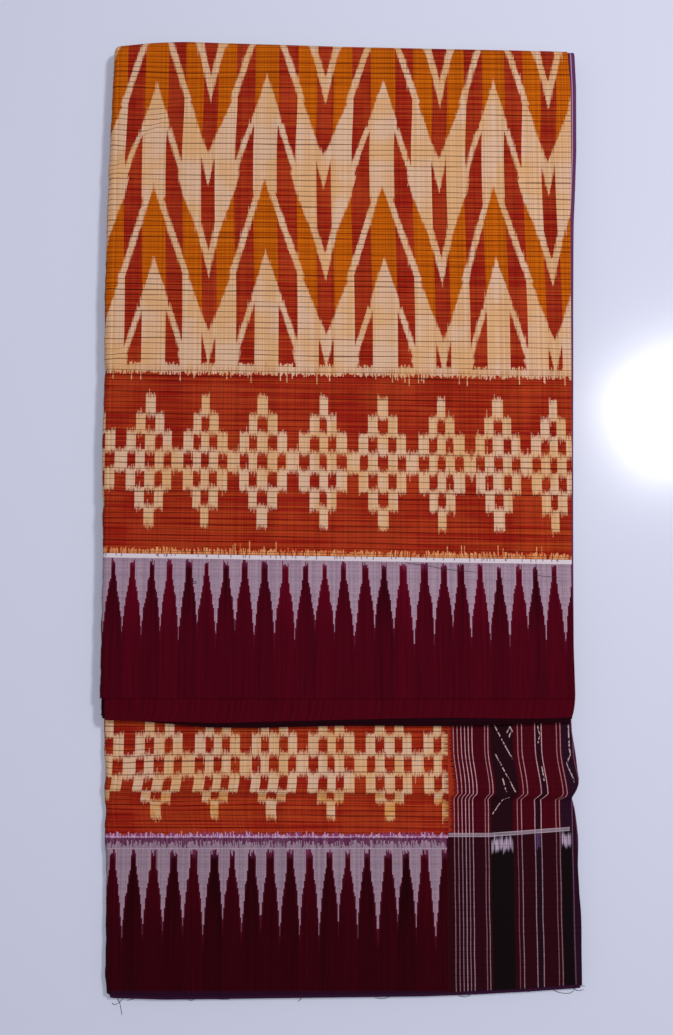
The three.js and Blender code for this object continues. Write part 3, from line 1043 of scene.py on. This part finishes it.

# %% Dyes, painted shade along the tuck, warp threads and the ragged foot of the body
warp_line, weave, mottle = use_group("warp_and_weave", body_tree, U=u, V=v, Pitch=4.05)
row_tone = cloud(u * 0.006, v * 0.9)
rust = mix(fade(stain + (row_tone - 0.5) * 1.3, 0.3, 0.7), RUST, DEEP_RUST)
rust = mix(fade(cloud(u * 0.005, v * 0.6 + 40), 0.5, 0.68) * 0.3, rust, dye(178, 78, 20))
dark_dye = mix(ochre, rust, mix(fade(row_tone, 0.35, 0.65), OCHRE, DEEP_OCHRE))
dark_dye = shade(dark_dye, 0.82 + 0.3 * tone)
cream_dye = mix(fade(stain + (tone - 0.5) * 0.25, 0.38, 0.64), CREAM_TAN, CREAM_PINK)
# Painted shade: on the lower stretch the cream turns gold in patches along the tuck's crease.
tuck_shade_gold = fade(v.away(132), 20, 12) & fade(cloud(u * 0.035, v * 0.09), 0.42, 0.62)
cream_dye = mix((lower & tuck_shade_gold) * 0.6, cream_dye, CREAM_TUCK_SHADE)
body = mix(cream_mask, dark_dye, shade(cream_dye, 0.9 + 0.15 * tone))
above_line = v - line_foot
foot_head = 5.2 + yarn_chance * 3.0 + (other_chance > 0.8) * yarn_chance * 6
foot = (above_line < foot_head) & (other_chance < 0.86) & (lower < 0.5)
body = mix(foot * 0.85, body, mix(tone, dye(222, 166, 110), dye(190, 92, 44)))
lined = shade(body, WARP_THREAD)
frayed_side = lower * fade(u, SEAM_PLACE - 4.5, SEAM_PLACE - 0.5) * fade(row_tone, 0.3, 0.6)
body = mix(frayed_side * 0.8, body, dye(110, 14, 16))
edge_thread = fade(above_line.away(3.45), 0.5, 0.2) * (1 - lower) * 0.6
body = mix((warp_line | edge_thread) * 0.9, body, lined)

# %% The border and the pale line
tooth_drop = (line_foot - v - lower * 7.4) * (1 - 0.07 * lower)
pale_tooth, rim, spike_tone = use_group(
    "temple_teeth", body_tree, U=u, Place=tooth_place, Drop=tooth_drop, Wider=lower * 0.5)
streaks = cloud(u * 0.45, v * 0.012)
spike_share = fade(tooth_drop, 60, 10) * 0.8 + 0.2
warmth = (spike_tone - 0.5) * spike_share + (streaks - 0.5) * 0.6
warmth = warmth + (tone - 0.5) * spike_share * 0.5 + 0.45
maroon = mix(warmth, MAROON_DARK, MAROON_BRIGHT)
maroon = shade(maroon, (1 - 0.5 * lower) * (0.94 + 0.12 * mottle))
grey = mix(fade(mottle, 0.25, 0.75), TOOTH_DARK, TOOTH_PALE)
grey = shade(grey, (1 - 0.14 * lower) * (0.95 + 0.1 * cloud(u * 0.05, v * 0.05)))
border = mix(pale_tooth, maroon, grey)
border = mix(rim * 0.35, border, mix(pale_tooth, dye(96, 22, 48), TOOTH_RIM))
border = mix(fade(tooth_drop, 8, 1) * (1 - pale_tooth) * tone * 0.6, border, dye(140, 60, 100))
purple_reach = (above_line + 1.5 + yarn_chance * 7) > 0
ragged_purple = lower & purple_reach & (other_chance < fade(above_line, -9, -1.5))
border = mix(ragged_purple * (0.72 + 0.28 * tone), border, PURPLE)
thin_line = lower * fade(above_line.away(-7.6), 0.6, 0.15)
border = mix(thin_line * (0.3 + 0.3 * mottle), border, dye(186, 164, 182))
# Dark purple along the first 3 mm from the hem, and painted shade where the lower border turns round the
# left fold.
hem_line_and_fold_shade = lower & (fade(v, 3.0, 1.0) | fade(u, -32.5, -34.5) & fade(v, 60, 40))
border = mix(hem_line_and_fold_shade * 0.75, border, dye(34, 12, 34))
border = mix(lower & (u > SEAM_PLACE - 1.4), border, dye(48, 4, 13))
wavy_line = above_line + (stain - 0.5) * 0.4 + lower * (yarn_chance - 0.5) * 0.9
colour = mix(wavy_line > 0, border, body)
line_body = between(wavy_line, 0, 3.1 + lower * (other_chance * other_chance * 2.6 - 1.3))
tick = (yarn_chance > 0.86) & (above_line > 1.9 - other_chance * 1.4)
upper_line = mix(tick * 0.7, mix(mottle, PALE_LINE_DARK, PALE_LINE), dye(96, 50, 50))
bright_foot = between(above_line, 0, 0.8) * (0.4 + 0.5 * other_chance)
lower_line = mix(bright_foot, mix(tone > 0.45, LILAC, LILAC_DARK), dye(196, 166, 188))
colour = mix(line_body, colour, mix(lower, upper_line, lower_line))
put_out(body_tree, end, Colour=colour, Height=weave)
print("body cloth:", len(body_tree.nodes), "nodes")

# %% [markdown]
# ## The cotton itself
# All the materials share one finish: matte, with a faint sheen from loose fibre, and the
# crossing yarns as a very low bump. Numbers that don't change over the cloth are set on the
# shader's own sockets.


# %% A cotton material
WEAVE_DEPTH = 0.00012  # metres


def read_map(tree, name):
    source = tree.nodes.new("ShaderNodeUVMap")
    source.uv_map = name
    parts = tree.nodes.new("ShaderNodeSeparateXYZ")
    tree.links.new(source.outputs["UV"], parts.inputs[0])
    return Wire(tree, parts.outputs[0]) * 1000, Wire(tree, parts.outputs[1]) * 1000


def new_cotton(name, roughness=0.82):
    material = bpy.data.materials.new(name)
    material.use_nodes = True
    surface = material.node_tree.nodes["Principled BSDF"]
    surface.inputs["Roughness"].default_value = roughness
    surface.inputs["Sheen Weight"].default_value = 0.008
    surface.inputs["Sheen Roughness"].default_value = 0.5
    surface.inputs["Specular IOR Level"].default_value = 0.03
    return material, *read_map(material.node_tree, "cloth")


def finish_cotton(material, colour, weave):
    tree = material.node_tree
    surface = tree.nodes["Principled BSDF"]
    bump = tree.nodes.new("ShaderNodeBump")
    bump.inputs["Strength"].default_value = 0.5
    bump.inputs["Distance"].default_value = WEAVE_DEPTH
    connect(tree, weave, bump.inputs["Height"])
    connect(tree, colour, surface.inputs["Base Color"])
    tree.links.new(bump.outputs["Normal"], surface.inputs["Normal"])
    return material


# %% Flap, lower stretch and underside
def body_cotton(name, tooth_start, tooth_pitch, **heights):
    material, across, along = new_cotton(name)
    tree = material.node_tree
    chart_u, fall = read_map(tree, "chart")
    colour, weave = use_group(
        "body_cloth", tree, U=across, V=along, Chart_U=chart_u, Fall=fall,
        Tooth=(across - tooth_start) / tooth_pitch, **heights)
    return finish_cotton(material, colour, weave)


flap_cotton = body_cotton(
    "flap_cotton", -3.2, 13.86, Line=100.4, Lattice=172.0, Field=241.6, Lower=0)
lower_cotton = body_cotton(
    "lower_cotton", 5.17, 14.12, Line=106.3, Lattice=167.4, Field=238.0, Lower=1)
flap_cloth.data.materials.append(flap_cotton)
for sheet in (lower_cloth, back_cloth):
    sheet.data.materials.append(lower_cotton)

# %% [markdown]
# ## The end piece
# Thin pale weft stripes run along the packet, with two black bands among them. The table gives
# the place of each one, from the line where the end piece begins. The cream dashes are extra
# weft, worked in by hand on the slant, so each is a short line between two points.

# %% Stripes and bands
BODY_ENDS = 1.0  # where the weft changes, from the row of vertices that the two sheets share
# columns: place from the seam, and how pale it is above and below the line, from red 0 to white 1
PALLU_STRIPES = [
    (4.1, 0.8, 0.5), (6.9, 0.7, 0.5), (9.6, 0.8, 0.6), (12.2, 0.9, 0.9), (14.7, 0.9, 0.6),
    (17.3, 0.9, 0.9), (26.1, 0.4, 0.4), (28.3, 0.7, 0.6), (49.1, 0.4, 0.2), (52.0, 0.6, 0.7),
    (61.3, 0.8, 0.8), (65.8, 0.9, 0.8), (76.3, 0.4, 0.3), (78.9, 0.5, 0.5),
]
STRIPE_WIDTH = 0.42  # half of a stripe's or a dash's width
SELVEDGE_PLACE = 86.8  # from here to the edge the end piece is plain purple
BLACK_BANDS = [(30.2, 45.8), (80.0, SELVEDGE_PLACE)]
PURPLE_BAND = (62.0, 65.2)
LINE_HEIGHT, LINE_BENDS_AT, LINE_RISE = 108.2, 29, 0.078  # the double line across the stripes
# columns: first point across and along, second point across and along
SLANTED_DASHES = [
    (32.3, 196.0, 45.2, 170.7), (33.3, 174.4, 43.6, 147.5), (44.0, 194.0, 41.5, 189.1),
    (44.0, 194.0, 45.8, 189.8), (44.4, 190.2, 42.9, 185.5), (35.7, 157.5, 37.3, 147.5),
    (42.0, 142.0, 31.0, 123.0), (84.9, 197.0, 85.2, 180.0), (85.2, 180.0, 85.8, 174.0),
    (85.8, 174.0, 82.2, 168.0), (82.2, 168.0, 85.0, 154.5), (63.2, 195.0, 64.6, 188.0),
    (64.6, 188.0, 63.4, 182.0), (64.4, 166.0, 64.0, 156.0),
]
HIGH_RED, HIGH_WHITE = dye(142, 56, 62), dye(220, 172, 182)
LOW_RED, LOW_WHITE = dye(112, 40, 52), dye(176, 146, 162)
PALLU_RED, PALLU_DARK, PALLU_BLACK = dye(64, 3, 15), dye(40, 5, 14), dye(15, 8, 11)


def near_segment(u, v, start_u, start_v, end_u, end_v):
    """A mask of a line that is read row by row, as extra weft is worked."""
    slope = (end_u - start_u) / (end_v - start_v)
    low, high = min(start_v, end_v), max(start_v, end_v)
    middle = (v - start_v) * slope + start_u
    return (u.away(middle) < STRIPE_WIDTH) & between(v, low, high)


pallu_cotton, across, along = new_cotton("pallu_cotton", 0.75)
tree = pallu_cotton.node_tree
line_middle = (across - LINE_BENDS_AT).node("MAXIMUM", 0) * LINE_RISE + LINE_HEIGHT
above_line = along > line_middle + 2
below_line = along < line_middle
wobble = (cloud(across * 0.05, along * 0.03, detail=1.0) - 0.5) * 0.7
stripe_u = across + wobble
_, weave, mottle = use_group("warp_and_weave", tree, U=across, V=along, Pitch=4.2)
_, shift, tone = use_group("ikat_yarns", tree, U=across)
streaks = cloud(across * 0.5, along * 0.01)
colour = shade(mix(below_line, PALLU_RED, PALLU_DARK), 0.8 + 0.45 * streaks)
black = across * 0
for low, high in BLACK_BANDS:
    black = black | between(stripe_u, low, high)
colour = mix(black, colour, mix(below_line, dye(32, 7, 16), PALLU_BLACK))
purple_band = between(stripe_u, *PURPLE_BAND)
colour = mix(purple_band * 0.85, colour, dye(24, 9, 20))
selvedge = (stripe_u > SELVEDGE_PLACE) | ((stripe_u > 80.0) & (1 - below_line))
colour = mix(selvedge * 0.8, colour, dye(36, 12, 32))
selvedge_thread = fade(stripe_u.away(SELVEDGE_PLACE + 1), 0.5, 0.15)
colour = mix(selvedge_thread * 0.35, colour, dye(150, 110, 134))
worn = 0.55 + 0.5 * cloud(across * 0.2, along * 0.25, detail=1.0)
for place, high_share, low_share in PALLU_STRIPES:
    here = fade(stripe_u.away(place), STRIPE_WIDTH, 0.1)
    high_dye = tuple(red + (white - red) * high_share for red, white in zip(HIGH_RED, HIGH_WHITE))
    low_dye = tuple(red + (white - red) * low_share for red, white in zip(LOW_RED, LOW_WHITE))
    colour = mix(here * worn, colour, mix(below_line, high_dye, low_dye))

# %% Extra weft, the pale line and the spill of the body's colours
dashes = across * 0
for dash in SLANTED_DASHES:
    dashes = dashes | near_segment(across, along, *dash)
broken = cloud(across * 0.9, along * 0.45, detail=1.0) > 0.45
colour = mix((dashes & broken) * 0.8, colour, dye(204, 172, 172))
block_drop = line_middle - along + shift * 0.7
block_tone = fade(block_drop, 1.0, 5.5) * fade(block_drop, 12.5, 9.0) * (0.35 + 0.65 * tone)
blocks = between(block_drop, 1.5, 12.5)
colour = mix((blocks & black) * block_tone * 0.9, colour, dye(190, 166, 190))
colour = mix((blocks & purple_band) * (0.2 + 0.4 * tone), colour, dye(96, 66, 112))
from_line = along.away(line_middle)
double = fade(from_line.away(1.05), 0.5, 0.15) * 0.9 | (0.5 * (from_line < 1.1))
line_share = double * (0.6 + 0.35 * mottle) & (across < 86.0)
colour = mix(line_share, colour, dye(184, 166, 180))
row_tone = cloud(across * 0.02, along * 0.8)
spill_reach = BODY_ENDS + 0.6 + fade(row_tone, 0.34, 0.66) * 11
spill = fade(across, spill_reach, BODY_ENDS) & above_line
colour = mix(spill * 0.75, colour, mix(fade(across, 0.5, 6.0), dye(148, 40, 20), dye(100, 10, 13)))
warp_line, _, _ = use_group("warp_and_weave", tree, U=across, V=along, Pitch=4.05)
colour = mix(warp_line * 0.35, colour, dye(24, 3, 7))
body_edge = (across < fade(row_tone, 0.3, 0.7) * 2.2) & above_line
colour = mix(body_edge * 0.6, colour, mix(row_tone, RUST, dye(160, 50, 24)))
finish_cotton(pallu_cotton, colour, weave)
pallu_cloth.data.materials.append(pallu_cotton)
print("end piece:", len(tree.nodes), "nodes")

# %% [markdown]
# ## Edges of the leaves
# The second leaf shows its maroon border below the hem and its purple selvedge at the right,
# with a pale lilac line painted on the purple as a highlight where a leaf's edge catches the
# light. The hidden leaves only show as edges, so their colour changes from leaf to leaf and
# along the stack, and near both hems it is darkened further as painted shade.

# %% Leaf materials
leaf_cotton, from_edge, from_hem = new_cotton("leaf_cotton")
tree = leaf_cotton.node_tree
streaks = cloud(from_edge * 0.4, from_hem * 0.02)
maroon = mix(streaks, dye(50, 1, 10), dye(82, 2, 19))
purple = mix(streaks, dye(80, 38, 76), dye(100, 54, 92))
# Painted highlight: the pale lilac line where a leaf's edge catches the light, drawn 2.6 to 3.3 mm in
# from the edge.
edge = mix(between(from_edge, 2.6, 3.3), purple, dye(164, 132, 162))
edge = mix(fade(from_hem, 60, 110), maroon, edge)
colour = mix(fade(from_edge, 4.4, 4.0), maroon, edge)
_, weave, _ = use_group("warp_and_weave", tree, U=from_edge, V=from_hem, Pitch=4.2)
finish_cotton(leaf_cotton, colour, weave)
second_leaf_cloth.data.materials.append(leaf_cotton)

inner_cotton, share, along = new_cotton("inner_cotton")
tree = inner_cotton.node_tree
run = cloud(share * 7.0, along * 0.015)
colour = mix(fade(run, 0.4, 0.6), dye(70, 20, 40), dye(104, 62, 96))
# Near both hems the leaves' ends go a very dark maroon: the border's own maroon, darkened further as
# painted shade on the stack's edge.
near_hem = fade(along, 120, 90) | fade(along, CLOTH_WIDTH - 120, CLOTH_WIDTH - 90)
colour = mix(near_hem, colour, dye(28, 3, 10))
colour = mix(fade(along, 3.0, 1.0), colour, dye(46, 18, 42))
_, weave, _ = use_group("warp_and_weave", tree, U=share * 100, V=along, Pitch=4.2)
finish_cotton(inner_cotton, colour, weave)
for leaf in stack_leaves:
    leaf.data.materials.append(inner_cotton)

# %% [markdown]
# ## Loose threads
# The lower hem has a few frayed yarns, and two dark yarns and a small knot lie loose on the
# flap's border. Each is a thin tube along a short table of points, which is quicker to place
# than hair and exports as a plain mesh.


# %% Tubes along points
def smooth_path(points, per_span=6):
    """A Catmull-Rom curve through the points, in millimetres."""
    spots = [Vector(p) for p in (points[0], *points, points[-1])]
    path = []
    for a, b, c, d in zip(spots, spots[1:], spots[2:], spots[3:]):
        for i in range(per_span):
            t = i / per_span
            path.append(0.5 * (2 * b + (c - a) * t + (2 * a - 5 * b + 4 * c - d) * t * t
                               + (3 * b - a - 3 * c + d) * t ** 3))
    return path + [spots[-1]]


def add_tube(mesh, points, radius, sides=5):
    path = smooth_path(points)
    rings = []
    for i, spot in enumerate(path):
        run = (path[min(i + 1, len(path) - 1)] - path[max(i - 1, 0)]).normalized()
        side = run.cross(Vector((0, 0, 1))).normalized()
        up = side.cross(run)
        thin = radius * (1 if 0 < i < len(path) - 1 else 0.5)
        turns = [2 * pi * k / sides for k in range(sides)]
        rings.append([mesh.verts.new((spot + thin * (side * cos(a) + up * sin(a))) * MM) for a in turns])
    for ring, following in zip(rings, rings[1:]):
        for k in range(sides):
            mesh.faces.new((ring[k], ring[(k + 1) % sides], following[(k + 1) % sides], following[k]))
    mesh.faces.new(rings[0][::-1])
    mesh.faces.new(rings[-1])


def make_threads(name, paths, radius):
    mesh = bmesh.new()
    for points in paths:
        add_tube(mesh, points, radius)
    bmesh.ops.recalc_face_normals(mesh, faces=mesh.faces)
    return finish_mesh(name, mesh)


# %% The frayed hem and the loose yarns
# each row is one yarn: points x, y, z
HEM_YARNS = [
    [(-158.9, -349.6, 6), (-159.3, -352.7, 3), (-157.4, -357.5, 0.5), (-156.3, -362.0, 0.4),
     (-155.5, -366.0, 0.4)],
    [(-162.7, -357.9, 0.4), (-160.9, -359.0, 0.5), (-157.3, -357.2, 1.0), (-153.3, -352.2, 4)],
    [(-152.2, -356.2, 0.4), (-148.7, -355.5, 0.4), (-144.0, -353.0, 3)],
    [(-110.1, -351.6, 4), (-108.7, -355.4, 1.0), (-106.7, -356.2, 0.4), (-103.4, -354.3, 1.5),
     (-101.0, -351.6, 4)],
    [(-95.4, -351.6, 4), (-93.5, -354.4, 1.5), (-87.3, -355.3, 0.4), (-82.3, -355.4, 0.5),
     (-79.1, -354.7, 1.0), (-77.1, -351.6, 4)],
    [(-30.0, -351.3, 5), (-29.4, -354.8, 1.5), (-31.6, -356.9, 0.4)],
    [(20.5, -350.3, 5), (23.4, -353.7, 2), (29.1, -354.9, 0.6), (33.9, -352.3, 3)],
    [(79.5, -348.6, 5), (81.9, -352.3, 2), (87.0, -353.7, 0.5), (91.0, -351.0, 2)],
    [(144.1, -344.3, 5), (148.2, -348.3, 2), (153.4, -350.9, 0.4), (159.7, -351.4, 0.4),
     (163.3, -349.5, 0.4)],
    [(156.8, -343.6, 5), (161.6, -347.2, 2), (166.1, -349.5, 0.4), (170.4, -348.8, 0.4)],
    [(162.6, -343.2, 4), (166.7, -345.7, 1.5), (171.1, -346.5, 0.4)],
]
# two dark yarns and a knot
BORDER_YARNS = [
    [(44.9, -48.3, 18.35), (62.9, -50.8, 18.35), (75.8, -53.2, 18.4), (91.6, -54.5, 18.35),
     (103.3, -56.2, 18.4), (110.3, -59.5, 18.35)],
    [(126.8, -53.9, 18.35), (134.8, -56.0, 18.35), (142.8, -57.8, 18.4), (155.9, -58.7, 18.35)],
    [(-108.2, -61.4, 18.4), (-106.0, -61.8, 18.7), (-105.0, -62.6, 18.7), (-106.3, -63.1, 18.8),
     (-107.8, -62.6, 18.6)],
]
hem_threads = make_threads("hem_threads", HEM_YARNS, 0.17)
loose_thread = make_threads("loose_thread", BORDER_YARNS, 0.22)

# %% Yarn materials
YARN_DYES = [(hem_threads, "hem_yarn", dye(44, 24, 46)), (loose_thread, "dark_yarn", dye(22, 8, 18))]
for piece, name, yarn_dye in YARN_DYES:
    yarn_cotton = bpy.data.materials.new(name)
    yarn_cotton.use_nodes = True
    tree = yarn_cotton.node_tree
    spot = tree.nodes.new("ShaderNodeTexCoord")
    fibres = tree.nodes.new("ShaderNodeTexNoise")
    fibres.inputs["Scale"].default_value = 900
    tree.links.new(spot.outputs["Object"], fibres.inputs["Vector"])
    colour = mix(Wire(tree, fibres.outputs[0]), yarn_dye, dye(78, 52, 74))
    surface = tree.nodes["Principled BSDF"]
    surface.inputs["Roughness"].default_value = 0.85
    surface.inputs["Specular IOR Level"].default_value = 0.05
    connect(tree, colour, surface.inputs["Base Color"])
    piece.data.materials.append(yarn_cotton)
print("loose yarns:", len(hem_threads.data.polygons) + len(loose_thread.data.polygons), "faces")

# %% [markdown]
# ## Hand the pieces to the frame
# Every sheet moves with the one body and stands for the solid it covers, which is hidden.

# %% Bodies and hidden solids, with the slots and cuts listed
# columns: sheet, the solid it stands for, slot, cut size across and along in metres, what it lies on
CUTS = [
    (flap_cloth, "flap_face", "body_ikat", (0.368, 0.512), ["second_leaf_cloth"]),
    (second_leaf_cloth, "second_leaf", "border_maroon", (0.345, 0.513), ["stack_leaf_1"]),
    (lower_cloth, "lower_face", "body_ikat", (0.254, 0.688), ["stack_leaf_1"]),
    (pallu_cloth, "pallu_face", "pallu_stripes", (0.092, 0.688), ["stack_leaf_1"]),
    (back_cloth, "back_face", "body_ikat", (0.350, 0.688), []),
]
for piece, node, slot_name, cut, below in CUTS:
    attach(piece, "root")
    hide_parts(node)
for leaf in stack_leaves:
    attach(leaf, "root")
    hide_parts("hidden_layers")
for piece, slot_name in ((hem_threads, "inner_cloth"), (loose_thread, "border_maroon")):
    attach(piece, "root")
